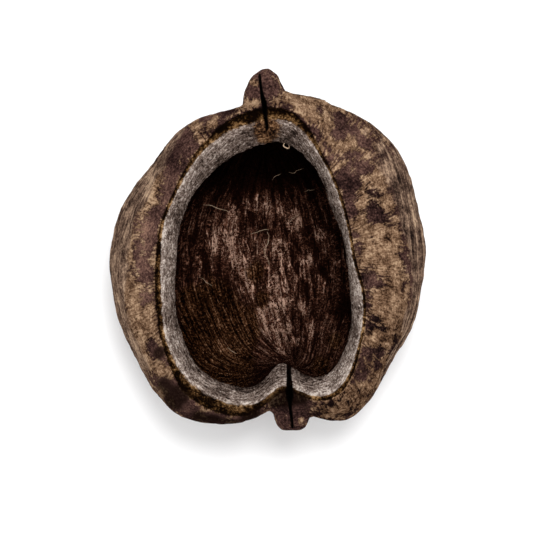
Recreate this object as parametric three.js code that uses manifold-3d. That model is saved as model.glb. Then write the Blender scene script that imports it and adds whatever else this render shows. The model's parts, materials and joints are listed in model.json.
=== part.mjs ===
// Sterculia pod: one dry, woody follicle, split open along its upper seam and emptied of its seeds.
// It lies on its back with the mouth up. Millimetres, +Z up, the beak points to +Y, the stalk to -Y.
import * as THREE from 'three';
import Module from 'manifold-3d';
import { mergeVertices } from 'three/addons/utils/BufferGeometryUtils.js';

const wasm = await Module();
wasm.setup();

const degree = Math.PI / 180;

// Heights above the surface that the pod rests on
const lipHeight = 57;
const lipDropAtEnds = 5;
const lipDropInCleft = 3.5;
const beltHeight = 30;
const beltRiseAtEnds = 8;
const flatSpotRadius = 11;

// The woody wall
const wallThickness = 6;
const wallExtraAtEnds = 2;
const floorThickness = 6;
const wallFullness = 2.2;
const rimDepth = 5.2;
const rimDepthAtEnds = 6;
const lipRounding = 0.4;
const recessDepth = 1.1;
const recessWidthMin = 0.9;
const bandSetDown = 0.5;
const bandSlope = 0.2;
const bandGrain = 0.18;
const undercutMin = 0.8;

// Outlines seen from above: distances from the pod's own axis every 20 degrees, from +X towards +Y
const axisX = -1;
const axisY = -3;
const outlineStep = 20 * degree;
const belt = [
  42.9, 44.3, 47.1, 47.7, 45.4, 42.3, 42.4, 40, 40.6, 41.1, 42.2, 43.6, 46.7, 45.4, 47, 48.6, 43.7, 43.7,
];
const lip = [24, 24, 26.5, 31.5, 40, 39, 34, 30, 28.5, 28, 29.8, 34.2, 40, 41.2, 40, 39.5, 33, 28];
const band = [
  23.3, 23.3, 25.5, 30.5, 37, 35.5, 32.5, 29, 27.5, 26.5, 28, 32.5, 36.5, 37.5, 37.5, 38, 32, 27.3,
];
const mouth = [
  21.5, 21.5, 22.5, 27.5, 31.5, 29.5, 27, 25, 23.3, 22.5, 24.5, 28, 32.5, 33.3, 33.8, 33.5, 29, 23.7,
];

// The cleft at the stalk that makes the pod two-lobed: angle, half-width and depth in each outline
const beltCleft = { angle: 278 * degree, width: 14 * degree, depth: 8 };
const lipCleft = { angle: 278.5 * degree, width: 11 * degree, depth: 5.5 };
const bandCleft = { angle: 279 * degree, width: 9.5 * degree, depth: 5 };
const mouthCleft = { angle: 280 * degree, width: 10 * degree, depth: 7 };
const woodyBase = { angle: 284 * degree, width: 11 * degree, depth: 5 };

// How finely the skin is divided
const columns = 108;
const lowerRings = 12;
const upperRings = 9;
const bevelRings = 3;
const cavityRings = 5;
const liningColumns = 56;
const liningRows = 22;

// The lining's folds run from where the stalk enters to the beak, as meridians of the cavity
const liningEdge = 0.92;
const cavityTurnIn = 12 * degree;
const stalkAngle = 286 * degree;
const beakAngle = 89 * degree;
const foldHeight = 0.85;
const middleCrowding = 0.62;
const foldsAcross = 10;
const cords = [
  { place: -0.27, width: 0.045, height: 1.0 },
  { place: 0.14, width: 0.03, height: 0.8 },
  { place: 0.36, width: 0.035, height: 0.8 },
];

// The rind's slow lumps, its lengthwise ribs, and the crease on its right shoulder
const lumpHeight = 0.55;
const ribHeight = 0.35;
const ribCount = 15;
const creaseDepth = 1.2;
const creaseWidth = 1.8;
const crease = [[17.7, 37.3], [23, 32.1], [26.9, 26.4], [30.9, 16], [32.5, 4]];

const vertices = [];
const reliefs = [];
const triangles = [];

function addVertex(x, y, z, relief = 0) {
  vertices.push(new THREE.Vector3(x, y, z));
  reliefs.push(relief);
  return vertices.length - 1;
}

// An eased step from 0 at one value to 1 at the other, whichever is larger
function smooth(from, to, value) {
  const t = THREE.MathUtils.clamp((value - from) / (to - from), 0, 1);
  return t * t * (3 - 2 * t);
}

// A smooth closed outline through its listed radii
function around(radii, angle) {
  const count = radii.length;
  const place = THREE.MathUtils.euclideanModulo(angle / outlineStep, count);
  const i = Math.floor(place);
  const t = place - i;
  const [p0, p1, p2, p3] = [-1, 0, 1, 2].map((k) => radii[(i + k + count) % count]);
  const bend = 2 * p0 - 5 * p1 + 4 * p2 - p3;
  const twist = 3 * (p1 - p2) + p3 - p0;
  return p1 + 0.5 * t * (p2 - p0 + t * (bend + t * twist));
}

// A rounded dip of an outline, one half-width either side of its angle
function dip(cleft, angle) {
  const away = THREE.MathUtils.euclideanModulo(angle - cleft.angle + Math.PI, 2 * Math.PI) - Math.PI;
  return cleft.depth * Math.exp(-((away / cleft.width) ** 2));
}

// The wall's section at one angle round the pod: radii from the axis, and heights
function sectionAt(angle) {
  const toEnds = Math.sin(angle) ** 2;
  const cleftDrop = dip({ ...lipCleft, depth: lipDropInCleft }, angle);
  const lipZ = lipHeight - lipDropAtEnds * toEnds - cleftDrop;
  const beltR = around(belt, angle) - dip(beltCleft, angle);
  const lipR = around(lip, angle) - dip(lipCleft, angle);
  const bandR = Math.min(around(band, angle) - dip(bandCleft, angle), lipR - recessWidthMin);
  const mouthR = around(mouth, angle) - dip(mouthCleft, angle);
  const wall = wallThickness + wallExtraAtEnds * toEnds + dip(woodyBase, angle);
  return {
    angle,
    beltR,
    lipR,
    bandR,
    mouthR,
    cavityR: Math.max(beltR - wall, mouthR + undercutMin),
    beltZ: beltHeight + beltRiseAtEnds * toEnds,
    lipZ,
    bandZ: lipZ - bandSetDown - bandSlope * (lipR - bandR),
    mouthZ: lipZ - rimDepth - (rimDepthAtEnds - rimDepth) * toEnds,
  };
}

// Rounded fall from 1 at the axis to 0 at the widest reach, fuller than a circle's
function bowl(reach) {
  return Math.max(0, 1 - reach ** wallFullness) ** (1 / wallFullness);
}

function slowLumps(x, y, z) {
  const broad = Math.sin(x / 6.1 + 0.7) * Math.sin(y / 7.3 + 1.9) + Math.sin(z / 5.2 + y / 11 + 0.4);
  const small = Math.sin(x / 3.3 + z / 4.1) * Math.sin(y / 3.7 - z / 5 + 2.2);
  return lumpHeight * (0.55 * broad + 0.35 * small);
}

function distanceToPath(x, y, path) {
  let nearest = Infinity;
  for (let i = 0; i < path.length - 1; i += 1) {
    const [ax, ay] = path[i];
    const [bx, by] = path[i + 1];
    const along = ((x - ax) * (bx - ax) + (y - ay) * (by - ay)) / ((bx - ax) ** 2 + (by - ay) ** 2);
    const t = THREE.MathUtils.clamp(along, 0, 1);
    nearest = Math.min(nearest, Math.hypot(x - ax - t * (bx - ax), y - ay - t * (by - ay)));
  }
  return nearest;
}

// The rind: lumps, lengthwise ribs that die out towards both ends, and the shoulder's crease
function rindRelief(x, y, z) {
  const lengthwise = Math.atan2(z - lipHeight / 2, x - axisX);
  const ribFade = smooth(46, 26, Math.abs(y - axisY));
  const ribs = ribHeight * ribFade * Math.sin(ribCount * lengthwise + 0.6 * Math.sin(y / 9));
  const aboveBelt = smooth(30, 38, z);
  const groove = creaseDepth * aboveBelt * Math.exp(-((distanceToPath(x, y, crease) / creaseWidth) ** 2));
  return smooth(0.2, 6, z) * (slowLumps(x, y, z) + ribs) - groove;
}

// The lining: narrow-crested folds and three thicker cords, flat again at the edge and both ends
function liningRelief(across, along) {
  const wander = 0.022 * Math.sin(8 * along + 6 * across) + 0.012 * Math.sin(19 * along - 9 * across);
  const place = across + wander;
  const crest = (0.5 + 0.5 * Math.cos(2 * Math.PI * foldsAcross * place)) ** 2;
  const uneven = 0.7 + 0.3 * Math.sin(7.3 * place + 5 * along + 1);
  let height = foldHeight * crest * uneven;
  for (const cord of cords) {
    height += cord.height * Math.exp(-(((place - cord.place) / cord.width) ** 2));
  }
  const fade = smooth(1, 0.82, Math.abs(across)) * smooth(0, 0.12, along) * smooth(1, 0.85, along);
  return height * fade;
}

// One closed ring of the skin: radius and height come from the wall's section at each angle
function addRing(placeAt, reliefAt) {
  const ring = [];
  for (let i = 0; i < columns; i += 1) {
    const section = sectionAt(stalkAngle + (2 * Math.PI * i) / columns);
    const { radius, height } = placeAt(section);
    const x = axisX + radius * Math.cos(section.angle);
    const y = axisY + radius * Math.sin(section.angle);
    ring.push({ id: addVertex(x, y, height, reliefAt(x, y, height)), turn: i / columns });
  }
  return ring;
}

// Triangles between two rings, walking both round together, so that their counts may differ
function joinRings(first, second) {
  let i = 0;
  let j = 0;
  const turnAt = (ring, k) => (k < ring.length ? ring[k].turn : 1 + ring[k - ring.length].turn);
  const idAt = (ring, k) => ring[k % ring.length].id;
  while (i < first.length || j < second.length) {
    const firstNext = turnAt(first, i + 1);
    const secondNext = turnAt(second, j + 1);
    const stepFirst = j >= second.length || (i < first.length && firstNext <= secondNext);
    if (stepFirst) {
      triangles.push([idAt(first, i), idAt(first, i + 1), idAt(second, j)]);
      i += 1;
    } else {
      triangles.push([idAt(first, i), idAt(second, j + 1), idAt(second, j)]);
      j += 1;
    }
  }
}

// Outside of the pod, from the flat spot it rests on, round the belt and up to the lip
function outerRings() {
  const rings = [];
  const flatSpot = () => ({ radius: flatSpotRadius, height: 0 });
  rings.push(addRing(flatSpot, () => 0));
  for (let k = 1; k <= lowerRings; k += 1) {
    rings.push(addRing((section) => {
      const start = flatSpotRadius / section.beltR;
      const reach = Math.sin(THREE.MathUtils.lerp(Math.asin(start), Math.PI / 2, k / lowerRings));
      return { radius: section.beltR * reach, height: section.beltZ * (1 - bowl(reach) / bowl(start)) };
    }, rindRelief));
  }
  for (let k = 1; k < upperRings; k += 1) {
    rings.push(addRing((section) => {
      const full = Math.acos((section.lipR + lipRounding) / section.beltR);
      const turn = (full * k) / (upperRings - 1);
      const rise = (section.lipZ - lipRounding - section.beltZ) * (Math.sin(turn) / Math.sin(full));
      return { radius: section.beltR * Math.cos(turn), height: section.beltZ + rise };
    }, rindRelief));
  }
  return rings;
}

// The broken rim: the lip, a narrow recess behind it, the pale band's bevel and the mouth's edge
function rimRings() {
  const still = () => 0;
  const insideLip = (s) => s.lipR - lipRounding;
  const rings = [
    addRing((s) => ({ radius: s.lipR - lipRounding / 2, height: s.lipZ }), still),
    addRing((s) => ({ radius: insideLip(s), height: s.bandZ }), still),
    addRing((s) => ({ radius: (insideLip(s) + s.bandR) / 2, height: s.bandZ - recessDepth }), still),
  ];
  for (let k = 0; k <= bevelRings; k += 1) {
    const t = k / bevelRings;
    const fall = (t + t * t) / 2;
    rings.push(addRing((s) => ({
      radius: THREE.MathUtils.lerp(s.bandR, s.mouthR, t),
      height: THREE.MathUtils.lerp(s.bandZ, s.mouthZ, fall),
    }), (x, y) => bandGrain * Math.sin(1.9 * x + 0.7) * Math.sin(1.7 * y)));
  }
  return rings;
}

// Under the rim the cavity widens to its own belt and turns in towards the floor
function cavityWallRings() {
  const rings = [];
  for (let k = 1; k <= cavityRings; k += 1) {
    rings.push(addRing((section) => {
      const start = Math.acos(section.mouthR / section.cavityR);
      const turn = THREE.MathUtils.lerp(start, -cavityTurnIn, k / cavityRings);
      if (turn < 0) {
        return { radius: section.cavityR * Math.cos(turn), height: floorHeight(section, Math.cos(turn)) };
      }
      const rise = (section.mouthZ - section.beltZ) * (Math.sin(turn) / Math.sin(start));
      return { radius: section.cavityR * Math.cos(turn), height: section.beltZ + rise };
    }, () => 0));
  }
  return rings;
}

function floorHeight(section, reach) {
  return section.beltZ - (section.beltZ - floorThickness) * bowl(reach);
}

// A point on the lining's outer edge, in plan
function liningEdgePoint(angle) {
  const radius = liningEdge * sectionAt(angle).cavityR;
  return new THREE.Vector2(axisX + radius * Math.cos(angle), axisY + radius * Math.sin(angle));
}

// A point of the floor: across runs from -1 on the left wall to 1 on the right, along from stalk to beak
function addLiningVertex(across, along) {
  const spine = liningEdgePoint(stalkAngle).lerp(liningEdgePoint(beakAngle), along);
  const sweep = across < 0 ? beakAngle - stalkAngle : beakAngle - stalkAngle + 2 * Math.PI;
  const point = spine.lerp(liningEdgePoint(stalkAngle + sweep * along), Math.abs(across));
  const angle = Math.atan2(point.y - axisY, point.x - axisX);
  const section = sectionAt(angle);
  const reach = Math.hypot(point.x - axisX, point.y - axisY) / section.cavityR;
  const id = addVertex(point.x, point.y, floorHeight(section, reach), liningRelief(across, along));
  return { id, turn: THREE.MathUtils.euclideanModulo(angle - stalkAngle, 2 * Math.PI) / (2 * Math.PI) };
}

// The folded floor: meridians that all meet at the stalk and again under the beak
function buildLining(wallRing) {
  const stalkEnd = addLiningVertex(0, 0);
  const beakEnd = addLiningVertex(0, 1);
  stalkEnd.turn = 0;
  const grid = [];
  for (let c = 0; c <= liningColumns; c += 1) {
    const even = (2 * c) / liningColumns - 1;
    const across = even * (middleCrowding + (1 - middleCrowding) * even * even);
    const meridian = [];
    for (let r = 1; r < liningRows; r += 1) {
      meridian.push(addLiningVertex(across, r / liningRows));
    }
    grid.push(meridian);
  }
  for (let c = 0; c < liningColumns; c += 1) {
    const [left, right] = [grid[c], grid[c + 1]];
    triangles.push([stalkEnd.id, right[0].id, left[0].id]);
    for (let r = 0; r < left.length - 1; r += 1) {
      triangles.push([left[r].id, right[r].id, right[r + 1].id]);
      triangles.push([left[r].id, right[r + 1].id, left[r + 1].id]);
    }
    triangles.push([left[left.length - 1].id, right[right.length - 1].id, beakEnd.id]);
  }
  const edge = [stalkEnd, ...grid[liningColumns], beakEnd, ...grid[0].toReversed()];
  joinRings(wallRing, edge);
}

// The whole shell as one closed skin, raised along its normals by each vertex's relief
function buildShell() {
  const underside = addVertex(axisX, axisY, 0);
  const rings = [...outerRings(), ...rimRings(), ...cavityWallRings()];
  for (let i = 0; i < columns; i += 1) {
    triangles.push([underside, rings[0][(i + 1) % columns].id, rings[0][i].id]);
  }
  for (let k = 0; k < rings.length - 1; k += 1) {
    joinRings(rings[k], rings[k + 1]);
  }
  buildLining(rings[rings.length - 1]);

  const geometry = new THREE.BufferGeometry().setFromPoints(vertices);
  geometry.setIndex(triangles.flat());
  geometry.computeVertexNormals();
  const position = geometry.getAttribute('position');
  const normal = geometry.getAttribute('normal');
  for (let i = 0; i < vertices.length; i += 1) {
    const raise = reliefs[i];
    position.setXYZ(
      i,
      position.getX(i) + raise * normal.getX(i),
      position.getY(i) + raise * normal.getY(i),
      position.getZ(i) + raise * normal.getZ(i),
    );
  }
  return geometry;
}

// A closed lump through oval sections, each given by its centre, half-width and half-height
function buildHorn(sections, sides = 16) {
  const points = [];
  const faces = [];
  for (const { x, y, z, wide, high } of sections) {
    for (let i = 0; i < sides; i += 1) {
      const turn = (2 * Math.PI * i) / sides;
      points.push(new THREE.Vector3(x + wide * Math.cos(turn), y, z + high * Math.sin(turn)));
    }
  }
  for (let k = 0; k < sections.length - 1; k += 1) {
    for (let i = 0; i < sides; i += 1) {
      const [a, b] = [k * sides + i, k * sides + ((i + 1) % sides)];
      faces.push(a, a + sides, b, b, a + sides, b + sides);
    }
  }
  const last = (sections.length - 1) * sides;
  for (let i = 1; i < sides - 1; i += 1) {
    faces.push(0, i, i + 1);
    faces.push(last, last + i + 1, last + i);
  }
  const geometry = new THREE.BufferGeometry().setFromPoints(points);
  geometry.setIndex(faces);
  return geometry;
}

// The beak: the follicle's pointed tip, rising out of the wall below the lip
function buildBeak() {
  return buildHorn([
    { x: -0.3, y: 35.5, z: 42, wide: 5.4, high: 5 },
    { x: -0.5, y: 38.5, z: 42.5, wide: 5.6, high: 4.8 },
    { x: -0.7, y: 41.5, z: 43, wide: 5.0, high: 4.2 },
    { x: -0.8, y: 44.5, z: 43.4, wide: 3.9, high: 3.5 },
    { x: -0.7, y: 46.8, z: 43.6, wide: 2.6, high: 2.6 },
    { x: -0.5, y: 48.2, z: 43.7, wide: 1.2, high: 1.4 },
  ]);
}

// The stub of the woody stalk, broken off square, in the cleft
function buildStalk() {
  return buildHorn([
    { x: 6.3, y: -47.6, z: 38.2, wide: 2.6, high: 2.4 },
    { x: 6.4, y: -46.9, z: 38.3, wide: 3.9, high: 3.5 },
    { x: 6.4, y: -44.8, z: 38.7, wide: 4.7, high: 4.2 },
    { x: 6.1, y: -42.0, z: 39.3, wide: 4.9, high: 4.6 },
    { x: 5.9, y: -39.0, z: 40, wide: 4.8, high: 5 },
    { x: 5.7, y: -35.5, z: 40.5, wide: 4.4, high: 5 },
  ]);
}

// A thin upright blade along a path in plan: what it takes out leaves the open seam
function buildSeamBlade(path, lowest) {
  const shape = new THREE.Shape();
  const side = (point, sign) => new THREE.Vector2(point.x + (sign * point.gap) / 2, point.y);
  const outline = [...path.map((p) => side(p, 1)), ...path.toReversed().map((p) => side(p, -1))];
  shape.setFromPoints(outline);
  const geometry = new THREE.ExtrudeGeometry(shape, { depth: lipHeight, bevelEnabled: false });
  geometry.translate(0, 0, lowest);
  return geometry;
}

// The seam from near the beak's tip into the rim, where it closes before the cavity
function buildBeakSeam() {
  return buildSeamBlade([
    { x: -2.2, y: 46.4, gap: 0.4 },
    { x: -1.6, y: 41.8, gap: 0.6 },
    { x: -1, y: 39, gap: 1.1 },
    { x: -0.6, y: 35.8, gap: 0.9 },
    { x: -0.2, y: 31.8, gap: 0.5 },
  ], 42.5);
}

// The same seam at the other end, through the cleft and the stub of the stalk
function buildStalkSeam() {
  return buildSeamBlade([
    { x: 5.6, y: -27.5, gap: 0.7 },
    { x: 5.6, y: -33, gap: 0.9 },
    { x: 5.8, y: -37.7, gap: 2 },
    { x: 5.9, y: -40.5, gap: 0.8 },
    { x: 6.5, y: -46.8, gap: 0.5 },
  ], 39.5);
}

function toManifold(geometry) {
  const bare = geometry.clone();
  bare.deleteAttribute('normal');
  bare.deleteAttribute('uv');
  const merged = mergeVertices(bare);
  return new wasm.Manifold(new wasm.Mesh({
    numProp: 3,
    vertProperties: Float32Array.from(merged.getAttribute('position').array),
    triVerts: Uint32Array.from(merged.getIndex().array),
  }));
}

function toGeometry(solid) {
  const { vertProperties, triVerts } = solid.getMesh();
  const geometry = new THREE.BufferGeometry();
  geometry.setAttribute('position', new THREE.BufferAttribute(Float32Array.from(vertProperties), 3));
  geometry.setIndex(Array.from(triVerts));
  geometry.computeVertexNormals();
  return geometry;
}

const podSolid = toManifold(buildShell())
  .add(toManifold(buildBeak()))
  .add(toManifold(buildStalk()))
  .subtract(toManifold(buildBeakSeam()))
  .subtract(toManifold(buildStalkSeam()));

// The origin is under the middle of the pod, on the surface it rests on
const podGeometry = toGeometry(podSolid);
podGeometry.computeBoundingBox();
const middle = podGeometry.boundingBox.getCenter(new THREE.Vector3());
podGeometry.translate(-middle.x, -middle.y, -podGeometry.boundingBox.min.z);

const rindMaterial = new THREE.MeshStandardMaterial({ color: 0x4a3a30, roughness: 0.85, metalness: 0 });
const pod = new THREE.Mesh(podGeometry, rindMaterial);
pod.name = 'pod';

const part = new THREE.Group();
part.add(pod);

export default part;
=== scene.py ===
import json
import math
import bpy
import numpy as np
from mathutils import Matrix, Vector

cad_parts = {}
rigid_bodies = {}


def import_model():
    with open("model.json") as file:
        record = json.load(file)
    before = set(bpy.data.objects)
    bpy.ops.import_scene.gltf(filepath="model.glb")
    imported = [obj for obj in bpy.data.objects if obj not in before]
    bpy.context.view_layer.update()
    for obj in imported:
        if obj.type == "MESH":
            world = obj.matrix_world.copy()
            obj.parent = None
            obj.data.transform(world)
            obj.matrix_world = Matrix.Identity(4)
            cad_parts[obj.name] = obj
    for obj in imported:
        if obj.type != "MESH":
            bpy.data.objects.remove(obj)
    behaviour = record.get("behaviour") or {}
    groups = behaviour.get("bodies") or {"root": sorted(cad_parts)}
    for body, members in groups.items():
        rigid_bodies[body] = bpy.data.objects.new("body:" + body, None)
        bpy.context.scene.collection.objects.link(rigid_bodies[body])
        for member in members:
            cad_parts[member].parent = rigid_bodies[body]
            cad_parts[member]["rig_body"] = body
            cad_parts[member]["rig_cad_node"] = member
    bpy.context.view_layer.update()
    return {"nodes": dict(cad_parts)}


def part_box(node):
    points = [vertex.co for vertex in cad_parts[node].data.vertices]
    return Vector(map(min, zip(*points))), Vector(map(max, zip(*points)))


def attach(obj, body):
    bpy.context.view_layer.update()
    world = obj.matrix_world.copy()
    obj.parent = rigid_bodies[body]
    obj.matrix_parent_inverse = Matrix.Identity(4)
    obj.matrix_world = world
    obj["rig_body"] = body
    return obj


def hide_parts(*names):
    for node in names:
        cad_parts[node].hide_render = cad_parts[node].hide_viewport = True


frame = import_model()
print("frame loaded")

mm = 0.001

# The camera looks straight down on the open mouth
cameraView = {
    "height": 630,           # above the surface that the pod rests on
    "beltHeight": 30,        # where the photo's scale was taken
    "pixelSize": 0.27,       # millimetres to a pixel at that height
    "imageSide": 533,
    "aim": (-0.35, -4.35),   # the point under the middle of the picture
    "sensor": 36,
}

# Outlines seen from above, in millimetres from the pod's own axis every 20 degrees
shellShape = {
    "beltRadii": [42.9, 44.3, 47.1, 47.7, 45.4, 42.3, 42.4, 40, 40.6, 41.1,
                  42.2, 43.6, 46.7, 45.4, 47, 48.6, 43.7, 43.7],
    "lipRadii": [24, 24, 26.5, 31.5, 40, 39, 34, 30, 28.5, 28,
                 29.8, 34.2, 40, 41.2, 40, 39.5, 33, 28],
    "bandRadii": [23.3, 23.3, 25.5, 30.5, 37, 35.5, 32.5, 29, 27.5, 26.5,
                  28, 32.5, 36.5, 37.5, 37.5, 38, 32, 27.3],
    "mouthRadii": [21.5, 21.5, 22.5, 27.5, 31.5, 29.5, 27, 25, 23.3, 22.5,
                   24.5, 28, 32.5, 33.3, 33.8, 33.5, 29, 23.7],
    "beltCleft": (278, 14, 8),      # angle, half-width and depth
    "lipCleft": (278.5, 11, 5.5),
    "bandCleft": (279, 9.5, 5),
    "mouthCleft": (280, 10, 7),
    "woodyBase": (284, 11, 5),
    "lipHeight": 57,
    "lipDropAtEnds": 5,
    "lipDropInCleft": 3.5,
    "beltHeight": 30,
    "beltRiseAtEnds": 8,
    "flatSpot": 11,
    "wall": 6,
    "wallExtraAtEnds": 2,
    "floor": 6,
    "fullness": 2.2,
    "rimDepth": 5.2,
    "rimDepthAtEnds": 6,
    "recessWidthMin": 0.9,
    "bandSetDown": 0.5,
    "bandSlope": 0.2,
    "undercutMin": 0.8,
    "stalkAngle": 286,
    "beakAngle": 89,
}

# How the finished skin is made from a copy of the plain solid: heights and sizes in millimetres
skinFinish = {
    "voxel": 0.9,
    "smoothing": 4,
    "finerPastMouth": 2,     # how far under the rim the lining has the finer faces
    "rindLumps": 0.26,
    "lumpSize": 3.5,
    "rindPits": 0.13,
    "pitSize": 1.4,
    "rindGrooves": 0.22,
    "grooveGap": 1.6,
    "fibreRidges": 0.07,
    "fibreGap": 0.9,
    "foldHeight": 0.6,
    "foldGap": 1.4,
    "cordHeight": 0.75,
    "cordWidth": 0.5,
    "crinkle": 0.22,
    "bandGrain": 0.1,
    "beakGrain": 0.22,
    "grainSize": 1.1,
    "flapStep": 0.8,
    "pinHoleDepth": 1.2,
    "beakSwell": 0.7,
    "seamReach": 0.9,        # how far from the crack the skin is left plain
    "seed": 7,
}

# The open seam at both ends: plan points in millimetres with the crack's width at each, and its lowest point
seams = {
    "beakSeam": {"lowest": 42.5, "path": [(-2.24, 46.1, 0.25), (-1.64, 41.5, 0.4), (-1.04, 38.7, 1.1),
                                          (-0.64, 35.5, 0.7), (-0.24, 31.6, 0.3)]},
    "stalkSeam": {"lowest": 39.5, "path": [(5.57, -27.8, 0.6), (5.57, -33.3, 0.85), (5.77, -38.0, 1.6),
                                           (5.87, -40.8, 0.5), (6.47, -47.1, 0.25)]},
}

# How a point's place is told, in millimetres: what still counts as the rim, the belt or the crack
placeSlack = {
    "pastLip": 0.2,
    "pastMouth": 0.6,
    "underRim": 1.9,
    "pastBelt": 1.5,
    "underSeam": 1.5,
}

# Where the rind turns to the streaked flank, in millimetres down from the lip, and the lengths that the
# skin's patterns are laid out on: radii for the rind's two angles, and the lining's half-width and length
skinMap = {
    "shoulder": 8,
    "shoulderMoreOnRight": 6,
    "shoulderLessAtBeak": 2,
    "shoulderFade": 7,
    "shoulderUneven": 3,
    "flankFades": (46, 22),  # how far from the middle, along the pod, the flank has gone and is whole
    "flankUneven": 6,
    "radiusRound": 40,
    "radiusLengthwise": 38,
    "middleHeight": 28.5,
    "liningHalfWidth": 34,
    "liningLength": 57,
    "liningRows": 160,
}

# The upright blade that cuts the crack
seamBlade = {
    "rows": 28,
    "height": 30,
    "ragged": 0.35,
    "raggedSize": 1.3,
    "bend": 0.3,
    "bendSize": 2.5,
}


def around(radii, angle):
    # a smooth closed curve through radii that stand 20 degrees apart
    count = len(radii)
    place = np.mod(angle / math.radians(20), count)
    start = np.floor(place).astype(int)
    t = place - start
    values = np.array(radii, float)
    p0, p1, p2, p3 = (values[(start + k) % count] for k in (-1, 0, 1, 2))
    bend = 2 * p0 - 5 * p1 + 4 * p2 - p3
    twist = 3 * (p1 - p2) + p3 - p0
    return p1 + 0.5 * t * (p2 - p0 + t * (bend + t * twist))


def dip(cleft, angle):
    # how deep a cleft reaches in at an angle
    centre, width, depth = cleft
    away = np.mod(angle - math.radians(centre) + math.pi, 2 * math.pi) - math.pi
    return depth * np.exp(-((away / math.radians(width)) ** 2))


def smooth(low, high, value):
    # an eased rise from 0 at low to 1 at high, or a fall where low is the higher
    t = np.clip((value - low) / (high - low), 0, 1)
    return t * t * (3 - 2 * t)


def sectionAt(angle):
    # radii and heights of the pod's upright section at an angle, as in the solid
    s = shellShape
    toEnds = np.sin(angle) ** 2
    lipDrop = dip((*s["lipCleft"][:2], s["lipDropInCleft"]), angle)
    lipZ = s["lipHeight"] - s["lipDropAtEnds"] * toEnds - lipDrop
    beltR = around(s["beltRadii"], angle) - dip(s["beltCleft"], angle)
    lipR = around(s["lipRadii"], angle) - dip(s["lipCleft"], angle)
    bandR = around(s["bandRadii"], angle) - dip(s["bandCleft"], angle)
    bandR = np.minimum(bandR, lipR - s["recessWidthMin"])
    mouthR = around(s["mouthRadii"], angle) - dip(s["mouthCleft"], angle)
    wall = s["wall"] + s["wallExtraAtEnds"] * toEnds + dip(s["woodyBase"], angle)
    return {
        "beltR": beltR,
        "lipR": lipR,
        "bandR": bandR,
        "mouthR": mouthR,
        "cavityR": np.maximum(beltR - wall, mouthR + s["undercutMin"]),
        "beltZ": s["beltHeight"] + s["beltRiseAtEnds"] * toEnds,
        "lipZ": lipZ,
        "bandZ": lipZ - s["bandSetDown"] - s["bandSlope"] * (lipR - bandR),
        "mouthZ": lipZ - s["rimDepth"] - (s["rimDepthAtEnds"] - s["rimDepth"]) * toEnds,
    }


def noise(x, y, z, seed):
    # smooth value noise from -1 to 1 with cells one unit wide; the large numbers scatter the cells' corners
    cell = [np.floor(v).astype(np.int64) for v in (x, y, z)]
    part = [v - c for v, c in zip((x, y, z), cell)]
    part = [t * t * (3 - 2 * t) for t in part]
    total = np.zeros(len(x))
    for corner in range(8):
        step = [(corner >> k) & 1 for k in range(3)]
        key = sum((c + d) * p for c, d, p in zip(cell, step, (73856093, 19349663, 83492791)))
        key = (key ^ (seed * 2654435761)) & 0xFFFFFFFF
        key = (key ^ (key >> 15)) * 2246822519 & 0xFFFFFFFF
        key = (key ^ (key >> 13)) * 3266489917 & 0xFFFFFFFF
        value = ((key ^ (key >> 16)) & 0xFFFF) / 32767.5 - 1
        weight = np.ones(len(x))
        for t, d in zip(part, step):
            weight = weight * (t if d else 1 - t)
        total += weight * value
    return total


def layered(x, y, z, seed):
    # three noises, each twice as fine and half as high as the one before
    heights = (1, 0.5, 0.25)
    total = sum(
        height * noise(x * 2 ** k, y * 2 ** k, z * 2 ** k, seed + 11 * k) for k, height in enumerate(heights)
    )
    return total / sum(heights)


def podAxis():
    # the flat spot that the pod rests on is round its own axis
    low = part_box("pod")[0]
    spots = np.array([v.co for v in frame["nodes"]["pod"].data.vertices if v.co.z < low.z + 1e-6])
    return (spots[:, :2].min(0) + spots[:, :2].max(0)) / 2 / mm


def readPoints(mesh):
    flat = np.zeros(len(mesh.vertices) * 3, np.float32)
    mesh.vertices.foreach_get("co", flat)
    return flat.reshape(-1, 3).astype(float) / mm


def writePoints(mesh, points):
    mesh.vertices.foreach_set("co", (points * mm).astype(np.float32).ravel())
    mesh.update()


def readNormals(mesh):
    flat = np.zeros(len(mesh.vertices) * 3, np.float32)
    mesh.vertex_normals.foreach_get("vector", flat)
    return flat.reshape(-1, 3).astype(float)


def only(piece):
    bpy.ops.object.select_all(action="DESELECT")
    piece.select_set(True)
    bpy.context.view_layer.objects.active = piece


def pathDistance(x, y, path):
    # distance to a path in plan, and on which side of it: positive to the right of its direction
    nearest = np.full(len(x), 1e9)
    side = np.ones(len(x))
    for (ax, ay), (bx, by) in zip(path[:-1], path[1:]):
        dx, dy = bx - ax, by - ay
        t = np.clip(((x - ax) * dx + (y - ay) * dy) / (dx * dx + dy * dy), 0, 1)
        away = np.hypot(x - ax - t * dx, y - ay - t * dy)
        right = np.sign((x - ax) * dy - (y - ay) * dx)
        side = np.where(away < nearest, right, side)
        nearest = np.minimum(nearest, away)
    return nearest, side


def fromPhoto(places, height):
    # pixels of the photo to millimetres at a height over the ground
    view = cameraView
    far = (view["height"] - height) / (view["height"] - view["beltHeight"]) * view["pixelSize"]
    middle = view["imageSide"] / 2
    aimX, aimY = view["aim"]
    return [(aimX + (px - middle) * far, aimY + (middle - py) * far) for px, py in places]


def misfit(r, z, s, side, reachDown):
    # how far a point is off the outer or the inner skin, as a share of its reach
    widest, edgeR, edgeZ = (s[key] for key in side)
    full = np.sqrt(np.clip(1 - (edgeR / widest) ** 2, 0.02, 1))
    upper = np.hypot(r / widest, (z - s["beltZ"]) / (edgeZ - s["beltZ"]) * full)
    n = shellShape["fullness"]
    below = np.clip(s["beltZ"] - z, 0, None)
    lower = ((r / widest) ** n + (below / reachDown) ** n) ** (1 / n)
    return np.abs(np.where(z > s["beltZ"], upper, lower) - 1)


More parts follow.
